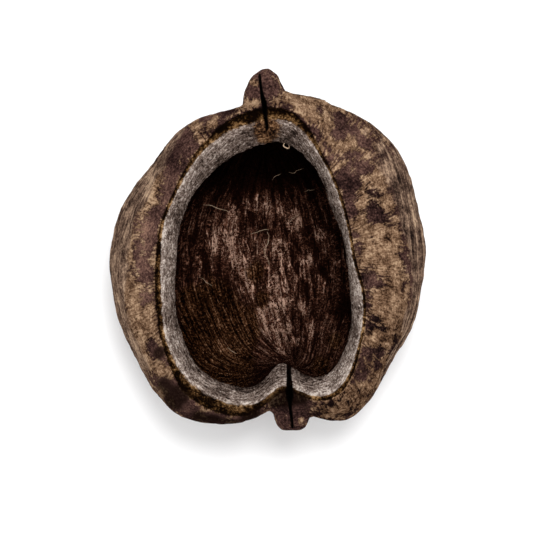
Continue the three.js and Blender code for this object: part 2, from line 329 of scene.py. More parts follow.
def outerMisfit(r, z, s):
    n = shellShape["fullness"]
    cutOff = (1 - (shellShape["flatSpot"] / s["beltR"]) ** n) ** (1 / n)
    return misfit(r, z, s, ("beltR", "lipR", "lipZ"), s["beltZ"] / cutOff)


def innerMisfit(r, z, s):
    return misfit(r, z, s, ("cavityR", "mouthR", "mouthZ"), s["beltZ"] - shellShape["floor"])


def liningEdge(angle, axis):
    radius = sectionAt(angle)["cavityR"]
    return axis[0] + radius * np.cos(angle), axis[1] + radius * np.sin(angle)


def liningPlace(x, y, axis):
    # where a point lies on the lining: across from -1 on the left to 1, along from stalk to beak
    stalk, beak = math.radians(shellShape["stalkAngle"]), math.radians(shellShape["beakAngle"])
    steps = np.linspace(0, 1, skinMap["liningRows"])
    startX, startY = liningEdge(np.array([stalk]), axis)
    endX, endY = liningEdge(np.array([beak]), axis)
    spineX, spineY = startX + (endX - startX) * steps, startY + (endY - startY) * steps
    right = (endX - startX) * (y - startY) - (endY - startY) * (x - startX) < 0
    across, along = np.zeros(len(x)), np.zeros(len(x))
    for sideIsRight, sweep in ((True, beak - stalk + 2 * math.pi), (False, beak - stalk)):
        # each row runs from the spine to the edge, and a point lies between two rows
        chosen = np.nonzero(right == sideIsRight)[0]
        edgeX, edgeY = liningEdge(stalk + sweep * steps, axis)
        rowX, rowY = edgeX - spineX, edgeY - spineY
        fromX, fromY = x[chosen, None] - spineX, y[chosen, None] - spineY
        cross = rowX * fromY - rowY * fromX
        ahead = cross > 0 if sideIsRight else cross < 0
        last = np.clip(ahead[:, 1:-1].sum(1), 1, len(steps) - 2)
        own = np.arange(len(chosen))
        before, after = cross[own, last], cross[own, last + 1]
        part = np.clip(before / np.where(before == after, 1, before - after), 0, 1)
        length = np.hypot(rowX[last], rowY[last]) + 1e-6
        reach = (fromX[own, last] * rowX[last] + fromY[own, last] * rowY[last]) / length ** 2
        across[chosen] = reach if sideIsRight else -reach
        along[chosen] = steps[last] + part * (steps[1] - steps[0])
    return across, along


# Places on the rind in the photo's pixels, each with its size: where the dark skin is left, where it has worn
# to tan fibres, where both are duller, where both are redder, and where painted shade makes them nearly black
rindPatches = {
    "dark": [(345, 179, 10), (351, 190, 9), (340, 161, 8), (363, 168, 7), (338, 137, 7), (320, 110, 6),
             (315, 132, 7), (326, 150, 5), (349, 206, 7), (350, 212, 5), (378, 212, 9), (372, 218, 6),
             (356, 236, 4), (357, 248, 5), (367, 279, 8), (377, 284, 6), (367, 294, 5), (372, 192, 6),
             (403, 256, 5), (408, 236, 5), (409, 268, 6), (381, 327, 6), (365, 326, 6), (366, 349, 6),
             (381, 353, 5), (362, 377, 5), (171, 205, 7), (389, 322, 5), (148, 300, 8), (374, 317, 5),
             (367, 305, 4), (378, 364, 4), (163, 214, 8), (158, 228, 8), (393, 348, 6), (374, 238, 6),
             (153, 346, 7), (161, 354, 8), (168, 383, 9), (180, 396, 12), (188, 408, 9), (145, 264, 9),
             (150, 276, 8), (151, 246, 8), (160, 240, 6), (215, 418, 9), (245, 417, 8), (398, 178, 5),
             (340, 120, 6), (354, 130, 5), (362, 140, 5), (181, 152, 14), (170, 188, 10), (186, 138, 10),
             (176, 170, 9), (192, 148, 8), (266, 84, 9), (270, 92, 8), (150, 225, 6), (205, 118, 6),
             (225, 110, 8), (288, 416, 12), (298, 412, 12), (252, 94, 6), (262, 94, 4)],
    "tan": [(246, 105, 4), (255, 104, 4), (276, 102, 4), (287, 100, 4), (153, 182, 9), (149, 189, 8),
            (146, 197, 6), (198, 140, 6), (195, 125, 6), (183, 164, 5), (212, 125, 6), (156, 204, 4),
            (307, 110, 10), (325, 103, 9), (322, 125, 8), (329, 146, 8), (337, 167, 5), (361, 193, 7),
            (358, 206, 6), (132, 293, 13), (140, 320, 12), (150, 326, 10), (133, 340, 12), (142, 356, 10),
            (160, 366, 7), (166, 372, 5), (152, 240, 4), (131, 259, 5), (164, 391, 6), (173, 401, 5),
            (172, 378, 4), (345, 146, 8), (342, 163, 4), (360, 226, 9), (370, 252, 16), (388, 240, 10),
            (380, 302, 14), (395, 318, 9), (372, 335, 6), (370, 342, 5), (385, 338, 6), (343, 408, 6),
            (328, 413, 5), (257, 84, 4), (205, 405, 5), (225, 409, 5), (378, 180, 9), (385, 205, 8),
            (345, 100, 7), (300, 100, 8), (376, 231, 8), (391, 262, 10), (392, 285, 9), (394, 300, 9),
            (388, 320, 9), (390, 345, 6), (352, 390, 5), (370, 388, 6), (376, 374, 5), (384, 362, 5),
            (359, 400, 6), (284, 416, 4), (300, 420, 4), (291, 426, 3), (152, 262, 5), (157, 250, 4),
            (151, 306, 6)],
    "dusky": [(376, 328, 18), (372, 366, 16), (345, 403, 20), (322, 412, 12), (385, 300, 10),
              (178, 160, 14), (335, 408, 12), (356, 400, 10), (392, 330, 14)],
    "ruddy": [(148, 250, 13), (147, 270, 12), (146, 290, 9), (149, 232, 10)],
    # painted shade: nearly black on the lower left, along the bottom and round the cleft by the stalk
    "paintedShade": [(180, 394, 11), (198, 418, 9), (230, 425, 8), (165, 384, 9), (288, 394, 10), (289, 401, 6),
              (276, 402, 8), (302, 398, 8), (255, 414, 7), (172, 402, 9), (160, 352, 7), (214, 420, 8),
              (246, 420, 8)],
}

# Places along the rim: where the band is palest, and where it is brown, which also paints shade into the
# recess under the lip by the beak
rimPatches = {
    "pale": [(334, 383, 14), (348, 368, 13), (357, 345, 11), (171, 235, 12), (170, 260, 14), (170, 285, 14),
             (178, 340, 12), (190, 368, 12), (350, 270, 12), (354, 295, 12), (318, 388, 9)],
    "brownAndShade": [(222, 128, 11), (238, 126, 12), (252, 128, 10), (295, 128, 12), (282, 126, 8), (245, 392, 9),
              (250, 117, 9), (268, 114, 9), (286, 116, 9), (300, 121, 8)],
}

# Places in the lining: where its crests get a painted highlight, and where it is rusty and hairy
liningPatches = {
    "tintAndPaintedLight": [(228, 240, 15), (240, 262, 12), (216, 242, 8), (232, 215, 9), (250, 205, 8), (262, 205, 9),
               (280, 210, 9), (280, 245, 8), (281, 260, 8), (262, 250, 10), (302, 262, 7), (305, 275, 6),
               (275, 285, 12), (283, 300, 11), (272, 312, 11), (262, 315, 8), (268, 330, 8), (284, 330, 9),
               (296, 222, 8), (312, 260, 7), (320, 235, 6), (327, 250, 6), (250, 290, 8), (246, 275, 8),
               (305, 310, 6), (312, 330, 7), (282, 345, 6), (296, 342, 5), (222, 345, 8), (236, 352, 6)],
    "rust": [(215, 300, 24), (200, 330, 22), (230, 345, 26), (245, 325, 16), (205, 355, 20), (235, 372, 20),
             (320, 365, 12), (335, 340, 10), (255, 272, 12), (262, 300, 10), (190, 300, 14)],
}

# The thickest crests of the lining, as points of the photo
liningCords = [
    [(242, 269), (248, 290), (254, 301), (262, 314), (266, 326), (276, 338), (284, 347)],
    [(238, 282), (246, 297), (257, 310), (263, 322), (272, 336)],
    [(299, 212), (297, 230), (299, 244), (294, 254), (295, 269), (299, 283), (298, 310), (297, 334)],
    [(319, 283), (317, 292), (314, 304), (312, 315), (311, 328)],
    [(334, 262), (331, 272), (325, 286), (322, 296)],
    [(266, 192), (267, 208), (270, 222), (272, 232), (275, 248), (270, 262), (268, 280)],
    [(281, 270), (287, 280), (290, 295), (289, 312), (290, 326)],
    [(228, 205), (230, 215), (225, 228), (229, 240), (228, 255), (236, 268)],
    [(286, 178), (290, 200), (293, 212), (297, 224)],
    [(255, 262), (257, 276), (262, 290), (271, 305), (279, 322), (286, 340)],
]

# The edge of the flap on the right shoulder, and round places with their sizes: the fuller sides of the beak,
# its foot, where the rim is rough, the brown tissue at the end of its crack, and a small hole in the rind
flapEdge = [(340, 108), (350, 113), (372, 123), (378, 130), (395, 145), (407, 168), (412, 178), (416, 200)]
beakSides = [(252, 78, 6), (249, 90, 7), (247, 98, 5), (276, 76, 6), (282, 87, 6), (287, 95, 5)]
beakFoot = [(245, 128, 34), (290, 130, 26)]
beakTissue = (266, 129, 14)
pinHole = (356.5, 148.4, 2.2)

# Heights in millimetres at which the photo's places are taken
heightOf = {"rind": 46, "rim": 52, "beak": 50, "flap": 40, "lining": 9, "rust": 12, "fibres": 12, "curl": 46}

# Loose pale fibres in the cavity as points of the photo, each with its thickness in millimetres, and a
# small curl that hangs from the rim under the beak
looseFibres = {
    "strands": [(0.2, [(203, 205), (209, 205), (213, 207), (219, 209), (226, 211), (230, 214)]),
                (0.14, [(289, 173), (294, 173), (298, 171), (303, 169)]),
                (0.11, [(272, 180), (276, 177), (281, 174)]),
                (0.12, [(304, 191.5), (308, 190.5), (311, 190), (314, 189.5)]),
                (0.14, [(250, 234), (258, 232), (264, 229), (269, 229)]),
                (0.18, [(267, 232), (269, 238), (267, 244), (264, 250), (267, 258), (269, 266)]),
                (0.12, [(289, 222), (295, 217), (300, 213)]),
                (0.12, [(199, 277), (205, 281), (211, 286)]),
                (0.16, [(227, 347), (231, 350), (237, 353)])],
    "wander": 0.2,
    "lift": 0.35,
    "taper": 0.6,
    "curl": (287, 145.5),
    "curlReach": 0.9,
    "curlThickness": 0.36,
    "curlTurns": (1.9, 7.2),  # in radians, from its first end to its last
    "curlPoints": 14,
    "curlTightens": 0.6,
    "curlUneven": 0.16,
    "curlSinks": 0.25,
    "curlRaised": 0.6,
}


def dropDoubles(piece):
    bpy.ops.object.mode_set(mode="EDIT")
    bpy.ops.mesh.select_all(action="SELECT")
    bpy.ops.mesh.remove_doubles(threshold=1e-6)
    bpy.ops.object.mode_set(mode="OBJECT")


def applyModifier(piece, kind, **settings):
    modifier = piece.modifiers.new(kind.lower(), kind)
    for key, value in settings.items():
        setattr(modifier, key, value)
    only(piece)
    bpy.ops.object.modifier_apply(modifier=modifier.name)


def copyOfNode(name):
    only(frame["nodes"]["pod"])
    bpy.ops.object.duplicate()
    piece = bpy.context.active_object
    piece.name = name
    bpy.ops.object.parent_clear(type="CLEAR_KEEP_TRANSFORM")
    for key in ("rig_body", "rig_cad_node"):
        del piece[key]
    dropDoubles(piece)
    return piece


def buildPod():
    values = skinFinish
    plain = copyOfNode("plainSolid")
    pod = copyOfNode("seedPod")
    applyModifier(pod, "REMESH", mode="VOXEL", voxel_size=values["voxel"] * mm)
    refineMouth(pod)

    place = placeOf(readPoints(pod.data))
    firm = pod.vertex_groups.new(name="firm")
    firm.add(np.nonzero(place["seam"] > values["seamReach"])[0].tolist(), 1, "REPLACE")
    soft = pod.vertex_groups.new(name="soft")
    soft.add(np.nonzero(~place["rim"])[0].tolist(), 1, "REPLACE")
    applyModifier(pod, "SHRINKWRAP", target=plain, wrap_method="NEAREST_SURFACEPOINT", vertex_group="firm")
    applyModifier(pod, "SMOOTH", factor=0.5, iterations=values["smoothing"], vertex_group="soft")
    applyModifier(pod, "SMOOTH", factor=0.5, iterations=1)
    pod.vertex_groups.clear()
    bpy.data.objects.remove(plain, do_unlink=True)
    for seam in seams.values():
        cutSeam(pod, seam)
    sculptPod(pod)
    only(pod)
    bpy.ops.object.shade_smooth()
    return pod


def refineMouth(pod):
    # the rim and the lining that shows through the mouth get faces of half the size
    mesh = pod.data
    flat = np.zeros(len(mesh.polygons) * 3, np.float32)
    mesh.polygons.foreach_get("center", flat)
    place = placeOf(flat.reshape(-1, 3).astype(float) / mm)
    only(pod)
    bpy.ops.object.mode_set(mode="EDIT")
    bpy.ops.mesh.select_all(action="DESELECT")
    bpy.ops.mesh.select_mode(type="FACE")
    bpy.ops.object.mode_set(mode="OBJECT")
    shown = place["inside"] & (place["radius"] < place["section"]["mouthR"] + skinFinish["finerPastMouth"])
    mesh.polygons.foreach_set("select", place["rim"] | shown)
    bpy.ops.object.mode_set(mode="EDIT")
    bpy.ops.mesh.subdivide(number_cuts=1)
    bpy.ops.object.mode_set(mode="OBJECT")


def alongSeam(seam, y):
    # the middle of the crack and its width
    path = np.array(sorted(seam["path"], key=lambda point: point[1]))
    return np.interp(y, path[:, 1], path[:, 0]), np.interp(y, path[:, 1], path[:, 2])


def cutSeam(pod, seam):
    # a thin upright blade with an uneven edge takes the crack out of the skin
    values = seamBlade
    bpy.ops.object.select_all(action="DESELECT")
    bpy.ops.mesh.primitive_grid_add(x_subdivisions=1, y_subdivisions=values["rows"], size=1)
    blade = bpy.context.active_object
    points = readPoints(blade.data)
    ends = [point[1] for point in seam["path"]]
    y = min(ends) + np.clip(points[:, 1] * mm + 0.5, 0, 1) * (max(ends) - min(ends))
    nought = 0 * y
    side = np.sign(points[:, 0])
    middle, gap = alongSeam(seam, y)
    ragged = 1 + values["ragged"] * noise(y / values["raggedSize"], side * 3.0, nought, 5)
    bend = values["bend"] * noise(y / values["bendSize"], nought, nought, 6)
    x = middle + bend + side * gap / 2 * ragged
    writePoints(blade.data, np.stack([x, y, nought + seam["lowest"]], 1))
    bpy.ops.object.mode_set(mode="EDIT")
    bpy.ops.mesh.select_all(action="SELECT")
    bpy.ops.mesh.extrude_region_move(TRANSFORM_OT_translate={"value": (0, 0, values["height"] * mm)})
    bpy.ops.mesh.select_all(action="SELECT")
    bpy.ops.mesh.normals_make_consistent(inside=False)
    bpy.ops.object.mode_set(mode="OBJECT")
    applyModifier(pod, "BOOLEAN", operation="DIFFERENCE", object=blade, solver="MANIFOLD")
    bpy.data.objects.remove(blade, do_unlink=True)


def placeOf(points):
    # where each point lies on the pod
    x, y, z = points.T
    axis = podAxis()
    angle = np.arctan2(y - axis[1], x - axis[0])
    r = np.hypot(x - axis[0], y - axis[1])
    s = sectionAt(angle)
    recess = (s["lipR"] - r) / (s["lipR"] - s["bandR"])
    band = (s["bandR"] - r) / (s["bandR"] - s["mouthR"])
    t = np.clip(band, 0, 1)
    fall = np.where(r > s["bandR"], 0, (s["mouthZ"] - s["bandZ"]) * (t + t * t) / 2)
    slack = placeSlack
    overRim = z > s["bandZ"] + fall - slack["underRim"]
    onRim = (r < s["lipR"] + slack["pastLip"]) & (r > s["mouthR"] - slack["pastMouth"]) & overRim
    nearOutside = outerMisfit(r, z, s) < innerMisfit(r, z, s)
    outside = (nearOutside | (r > s["beltR"] + slack["pastBelt"])) & ~onRim
    seam = np.full(len(x), 99.0)
    for crack in seams.values():
        path = [(px, py) for px, py, gap in crack["path"]]
        clear = np.maximum(pathDistance(x, y, path)[0] - alongSeam(crack, y)[1] / 2, 0)
        seam = np.where(z > crack["lowest"] - slack["underSeam"], np.minimum(seam, clear), seam)
    return {
        "axis": axis,
        "angle": angle,
        "section": s,
        "radius": r,
        # on the rim, 0 to 1 across the recess and 1 to 2 across the band
        "rimPlace": np.where(onRim, np.where(r > s["bandR"], recess, 1 + band), -1),
        "rim": onRim,
        "outside": outside,
        "inside": ~outside & ~onRim,
        "seam": seam,
    }


def blobs(x, y, height, places, power=2):
    # soft round spots at places given in the photo's pixels
    total = np.zeros(len(x))
    for px, py, size in places:
        (cx, cy), = fromPhoto([(px, py)], height)
        spread = size * cameraView["pixelSize"]
        total += np.exp(-(np.hypot(x - cx, y - cy) / spread) ** power)
    return total


def crestLine(value, width):
    # thin crests where a noise passes through zero
    return np.exp(-((value / width) ** 2))


def rindPlace(x, y, z, place):
    # where a point lies on the rind: round from the stalk, down from the lip, round lengthwise, and whether
    # it is on the streaked flank
    laid = skinMap
    axis, s = place["axis"], place["section"]
    down = np.hypot(place["radius"] - s["lipR"], z - s["lipZ"])
    shoulder = laid["shoulder"] + laid["shoulderMoreOnRight"] * smooth(-20, 20, x)
    shoulder -= laid["shoulderLessAtBeak"] * smooth(0, 25, y)
    uneven = noise(x / 4, y / 6, z / 4, skinFinish["seed"] + 8)
    belowShoulder = smooth(0, laid["shoulderFade"], down - shoulder + laid["shoulderUneven"] * uneven)
    offMiddle = np.abs(y - axis[1]) + laid["flankUneven"] * uneven
    fromStalk = np.mod(place["angle"] - math.radians(shellShape["stalkAngle"]), 2 * math.pi)
    return {
        "fromStalk": fromStalk * laid["radiusRound"],
        "down": down,
        "lengthwise": np.arctan2(z - laid["middleHeight"], x - axis[0]) * laid["radiusLengthwise"],
        "flank": belowShoulder * smooth(*laid["flankFades"], offMiddle),
    }


def rindRelief(x, y, z, rind):
    values = skinFinish
    seed = values["seed"]
    nought = 0 * x
    lump, pit = values["lumpSize"], values["pitSize"]
    relief = values["rindLumps"] * layered(x / lump, y / lump, z / lump, seed)
    relief += values["rindPits"] * layered(x / pit, y / pit, z / pit, seed + 9)
    warp = 0.5 * noise(x / 5, y / 8, z / 5, 2)
    grooves = noise(rind["lengthwise"] / values["grooveGap"] + warp, y / 15, nought, seed + 1)
    relief -= values["rindGrooves"] * (0.25 + rind["flank"]) * crestLine(grooves, 0.25)
    ridges = noise(rind["fromStalk"] / values["fibreGap"], rind["down"] / 4, nought, seed + 7)
    relief += values["fibreRidges"] * (1 - rind["flank"]) * ridges
    away, side = pathDistance(x, y, fromPhoto(flapEdge, heightOf["flap"]))
    beyond = smooth(0, 0.7, away * -side) * smooth(9, 3, away) * smooth(28, 34, z)
    relief -= values["flapStep"] * beyond * (side < 0)
    relief -= values["pinHoleDepth"] * blobs(x, y, heightOf["rind"], [pinHole])
    fuller = np.clip(blobs(x, y, heightOf["beak"], beakSides), 0, 1)
    relief += values["beakSwell"] * fuller * smooth(33, 40, z)
    return relief * smooth(0.3, 3, z)


def liningRelief(x, y, across, foldsX, foldsY):
    # the height of folds, crinkles and cords, and how much each point is a crest
    values = skinFinish
    seed = values["seed"]
    nought = 0 * x
    warped = foldsX + 0.9 * noise(foldsX / 4, foldsY / 7, nought, 3)
    warped += 0.35 * noise(foldsX / 1.5, foldsY / 2.5, nought, 4)
    longFolds = crestLine(noise(warped / values["foldGap"], foldsY / 18, nought, seed + 2), 0.2)
    crinkles = crestLine(noise(foldsX / 1.6, foldsY / 0.9, nought, seed + 4), 0.25)
    middle = smooth(0.75, 0.35, np.abs(across))
    cords = nought
    for path in liningCords:
        away = pathDistance(x, y, fromPhoto(path, heightOf["lining"]))[0]
        cords = np.maximum(cords, crestLine(away, values["cordWidth"]))
    folds = longFolds * (0.35 + 0.65 * middle)
    relief = values["foldHeight"] * folds + values["crinkle"] * crinkles * (0.4 + 0.6 * middle)
    crest = np.clip(np.maximum(0.8 * folds + 0.7 * crinkles, cords * 1.6), 0, 1.6)
    return np.maximum(relief, values["cordHeight"] * cords), crest


def rimRelief(x, y, z):
    values = skinFinish
    size = values["grainSize"]
    rough = values["bandGrain"] + values["beakGrain"] * np.clip(blobs(x, y, heightOf["beak"], beakFoot), 0, 1)
    return rough * layered(x / size, y / size, z / size, values["seed"] + 5)


def sculptPod(pod):
    mesh = pod.data
    points = readPoints(mesh)
    normals = readNormals(mesh)
    x, y, z = points.T
    place = placeOf(points)
    rind = rindPlace(x, y, z, place)
    across, along = liningPlace(x, y, place["axis"])
    foldsX, foldsY = across * skinMap["liningHalfWidth"], along * skinMap["liningLength"]
    lining, crest = liningRelief(x, y, across, foldsX, foldsY)
    raised = np.where(place["inside"], lining, rimRelief(x, y, z))
    raised = np.where(place["outside"], rindRelief(x, y, z, rind), raised)
    raised *= smooth(0, skinFinish["seamReach"], place["seam"])
    writePoints(mesh, points + normals * raised[:, None])

    tones = paintPod(x, y, z, place, rind["down"], across)
    addAttribute(mesh, "skinPlace", rind["fromStalk"], rind["down"], rind["lengthwise"])
    addAttribute(mesh, "liningPlace", foldsX, foldsY, crest)
    addAttribute(mesh, "zones", place["rimPlace"], place["inside"] * 1.0, tones["patches"])
    addAttribute(mesh, "tones", tones["paintedShade"], rind["flank"], np.minimum(place["seam"], 5))
    addAttribute(mesh, "liningTones", tones["tintAndPaintedLight"], tones["rust"], tones["tissue"])
    print("pod skin:", len(mesh.polygons), "faces")


def paintPod(x, y, z, place, down, across):
    # tones that the materials read, as numbers on the points of the skin
    def spots(patches, height):
        return blobs(x, y, heightOf[height], patches)

    # the patches fade towards the underside, and sooner at both ends
    ends = smooth(20, 34, np.abs(y - place["axis"][1]))
    upper = smooth(18, 30, z) * (1 - ends * smooth(13, 24, down))
    onRind = np.clip(spots(rindPatches["tan"], "rind") - spots(rindPatches["dark"], "rind"), -1, 1) * upper
    onRim = np.clip(spots(rimPatches["pale"], "rim") - spots(rimPatches["brownAndShade"], "rim"), -1, 1)
    ruddy = spots(rindPatches["ruddy"], "rind") - np.clip(spots(rindPatches["dusky"], "rind"), 0, 1)
    # painted light on the lining: lighter where its crests catch the light, with painted shade under the
    # beak's overhanging rim and towards both walls
    tintAndPaintedLight = np.clip(spots(liningPatches["tintAndPaintedLight"], "lining"), 0, 1.05)
    tintAndPaintedLight -= 0.62 * smooth(12, 22, y) + 0.35 * smooth(0.55, 0.95, np.abs(across))
    return {
        "patches": np.where(place["rim"], onRim, onRind),
        "paintedShade": np.clip(spots(rindPatches["paintedShade"], "rind"), 0, 1) * upper,
        # redder on the rind, and painted highlight and shade on the lining
        "tintAndPaintedLight": np.where(place["outside"], ruddy * upper, tintAndPaintedLight),
        "rust": np.clip(spots(liningPatches["rust"], "rust"), 0, 1),
        "tissue": blobs(x, y, heightOf["rim"], [beakTissue], 4),
    }


def buildFibres(pod):
    # tubes that wander over the lining, joined into one piece
    values = looseFibres
    made = [layFibre(path, pod, wide, number) for number, (wide, path) in enumerate(values["strands"])]
    made.append(makeCurl())
    bpy.ops.object.select_all(action="DESELECT")
    for part in made:
        part.select_set(True)
    fibres = made[-1]
    bpy.context.view_layer.objects.active = fibres
    bpy.ops.object.join()
    fibres.name = "looseFibres"
    bpy.ops.object.shade_smooth()
    return fibres


def makeCurl():
    # a tightening loop that sinks as it turns
    values = looseFibres
    (middleX, middleY), = fromPhoto([values["curl"]], heightOf["curl"])
    turn = np.linspace(*values["curlTurns"], values["curlPoints"])
    tighter = np.linspace(1, values["curlTightens"], values["curlPoints"])
    reach = values["curlReach"] * (tighter + values["curlUneven"] * np.sin(2.6 * turn))
    z = heightOf["curl"] + values["curlRaised"] - values["curlSinks"] * turn
    loop = np.stack([middleX + reach * np.cos(turn), middleY + reach * np.sin(turn), z], 1)
    return tube(loop, values["curlThickness"])


def layFibre(path, pod, thickness, number):
    # the photo's points dropped on the pod from above, with finer points between them
    values = looseFibres
    corners = np.array(fromPhoto(path, heightOf["fibres"]))
    length = np.linspace(0, len(path) - 1, 5 * len(path))
    order = np.arange(len(path))
    nought = 0 * length
    x, y = np.interp(length, order, corners[:, 0]), np.interp(length, order, corners[:, 1])
    x += values["wander"] * noise(length * 1.7, nought, nought + number, 21)
    y += values["wander"] * noise(length * 1.7, nought + 9, nought + number, 22)
    above = shellShape["lipHeight"] + 3
    z = [pod.ray_cast((px * mm, py * mm, above * mm), (0, 0, -1))[1][2] / mm for px, py in zip(x, y)]
    lift = values["lift"] * np.sin(np.linspace(0, math.pi, len(z)))
    return tube(np.stack([x, y, np.array(z) + lift], 1), thickness)


def tube(points, thickness):
    # a closed tube that thins towards both ends
    bpy.ops.curve.primitive_nurbs_path_add(location=(0, 0, 0))
    strand = bpy.context.active_object
    strand.data.splines.clear()
    line = strand.data.splines.new("POLY")
    line.points.add(len(points) - 1)
    for spot, place, share in zip(line.points, points, np.linspace(-1, 1, len(points))):
        spot.co = (*(place * mm), 1)
        spot.radius = 1 - looseFibres["taper"] * share * share
    strand.data.dimensions = "3D"
    strand.data.bevel_depth = thickness / 2 * mm
    strand.data.bevel_resolution = 1
    strand.data.use_fill_caps = True
    only(strand)
    bpy.ops.object.convert(target="MESH")
    return bpy.context.active_object


def addAttribute(mesh, name, *parts):
    attribute = mesh.attributes.new(name, "FLOAT_VECTOR", "POINT")
    attribute.data.foreach_set("vector", np.stack(parts, 1).astype(np.float32).ravel())


class Wire:
    # a socket of a material, with Python's own signs for its Math nodes
    def __init__(self, tree, socket=None):
        self.tree = tree
        self.socket = socket

    def make(self, kind, settings=None, output=0, **sockets):
        node = self.tree.nodes.new(kind)
        for key, value in (settings or {}).items():
            if key == "stops":
                for element, (place, colour) in zip(self.stopsOf(node, len(value)), value):
                    element.position = place
                    element.color = (*colour, 1)
            else:
                setattr(node, key, value)
        for key, value in sockets.items():
            index = int(key[1:]) if key[0] == "_" else key
            if isinstance(value, Wire):
                self.tree.links.new(value.socket, node.inputs[index])
            else:
                node.inputs[index].default_value = value
        return Wire(self.tree, node.outputs[output])

    def stopsOf(self, node, count):
        elements = node.color_ramp.elements
        while len(elements) < count:
            elements.new(0.5)
        return elements

    def math(self, operation, first, second=0.0):
        return self.make("ShaderNodeMath", {"operation": operation}, _0=first, _1=second)

    def __add__(self, other):
        return self.math("ADD", self, other)

    def __radd__(self, other):
        return self.math("ADD", other, self)

    def __sub__(self, other):
        return self.math("SUBTRACT", self, other)

    def __rsub__(self, other):
        return self.math("SUBTRACT", other, self)

    def __mul__(self, other):
        return self.math("MULTIPLY", self, other)

    def __rmul__(self, other):
        return self.math("MULTIPLY", other, self)

    def step(self, low, high):
        # an eased rise from 0 at low to 1 at high
        return self.make("ShaderNodeMapRange", {"interpolation_type": "SMOOTHSTEP"},
                         Value=self, **{"From Min": low, "From Max": high})

    def orMore(self, other):
        # the higher of the two
        return self.math("MAXIMUM", self, other)

    def swing(self, amount):
        # a noise made to sway round nought
        return (self - 0.5) * amount

    def mix(self, first, second):
        # this value blends from the first colour to the second
        return self.make("ShaderNodeMix", {"data_type": "RGBA"}, output=2, Factor=self, _6=first, _7=second)

    def noise(self, scale, detail=4, roughness=0.6, distortion=0.0):
        return self.make("ShaderNodeTexNoise", Vector=self, Scale=scale, Detail=detail,
                         Roughness=roughness, Distortion=distortion)

    def stretched(self, scales):
        return self.make("ShaderNodeMapping", Vector=self, Scale=scales)

    def thinLine(self, width):
        # a thin line where a noise passes through its middle value
        return self.math("ABSOLUTE", self - 0.5).step(width, 0.0)

    def part(self, index):
        return self.make("ShaderNodeSeparateXYZ", output=index, Vector=self)

    def colours(self, stops):
        return self.make("ShaderNodeValToRGB", {"stops": stops}, Fac=self)


def newMaterial(name):
    material = bpy.data.materials.new(name)
    material.use_nodes = True
    return material, material.node_tree.nodes["Principled BSDF"], Wire(material.node_tree)


def attribute(wire, name):
    # three numbers that the skin's points carry
    return wire.make("ShaderNodeAttribute", {"attribute_name": name}, output=1)


# Colours as linear red, green and blue, from the darkest tone of each surface to its palest
podColours = {
    "darkSkin": [(0.006, 0.003, 0.003), (0.040, 0.019, 0.016), (0.120, 0.062, 0.049), (0.270, 0.150, 0.105)],
    "wornSkin": [(0.016, 0.007, 0.004), (0.110, 0.058, 0.032), (0.245, 0.145, 0.086), (0.490, 0.330, 0.205)],
    "flank": [(0.010, 0.006, 0.005), (0.075, 0.044, 0.031), (0.220, 0.140, 0.096), (0.460, 0.320, 0.210)],
    # the recess's darkest tones are painted shade along the lip
    "recess": [(0.004, 0.0018, 0.0008), (0.050, 0.023, 0.008), (0.190, 0.100, 0.040), (0.420, 0.260, 0.125)],
    "band": [(0.012, 0.008, 0.006), (0.105, 0.071, 0.057), (0.285, 0.219, 0.184), (0.690, 0.595, 0.525)],
    "tissue": [(0.004, 0.002, 0.0015), (0.055, 0.025, 0.012), (0.210, 0.105, 0.050), (0.480, 0.300, 0.170)],
    # the lining's palest tones are painted highlights on its crests
    "lining": [(0.0008, 0.0004, 0.0003), (0.02, 0.0062, 0.0036), (0.19, 0.078, 0.048), (0.66, 0.42, 0.31)],
    "rust": [(0.001, 0.0004, 0.0002), (0.020, 0.0066, 0.0026), (0.125, 0.049, 0.020), (0.480, 0.270, 0.160)],
    "fibre": [(0.140, 0.075, 0.040), (0.390, 0.270, 0.180), (0.720, 0.590, 0.450)],
    # near black painted in the open crack, where shade falls
    "crack": (0.002, 0.0013, 0.001, 1),
    # the colour of the painted shade on the rind
    "shadeDarkening": (0.006, 0.0025, 0.0015, 1),
}

# Scales of the patterns are in cells to a metre; each tone is how pale its surface is on the whole
podPaint = {
    "cloudScale": 270,
    "broadScale": 90,
    "grainScale": 1500,
    "fleckScale": 1900,
    "crumpleScale": 1700,
    "raggedScale": 700,
    "wornShare": 0.49,
    "patchPull": 0.28,
    "darkSkinTone": 0.42,
    "wornSkinTone": 0.41,
    "flankTone": 0.46,
    "recessTone": -0.22,
    "bandTone": 0.43,
    "tissueTone": 0.31,
    "liningTone": 0.3,
    "rustTone": 0.19,
    # how far the painted shade darkens the rind
    "shadeDarkeningStrength": 0.88,
    "rindRoughness": 0.6,
    "wornExtraRoughness": 0.25,
    "liningRoughness": 0.5,
    "bumpHeight": 0.0006,
}


def ramp(tone, name):
    # the named tones laid evenly over a value from 0 to 1
    tones = podColours[name]
    return tone.colours([(k / (len(tones) - 1), colour) for k, colour in enumerate(tones)])


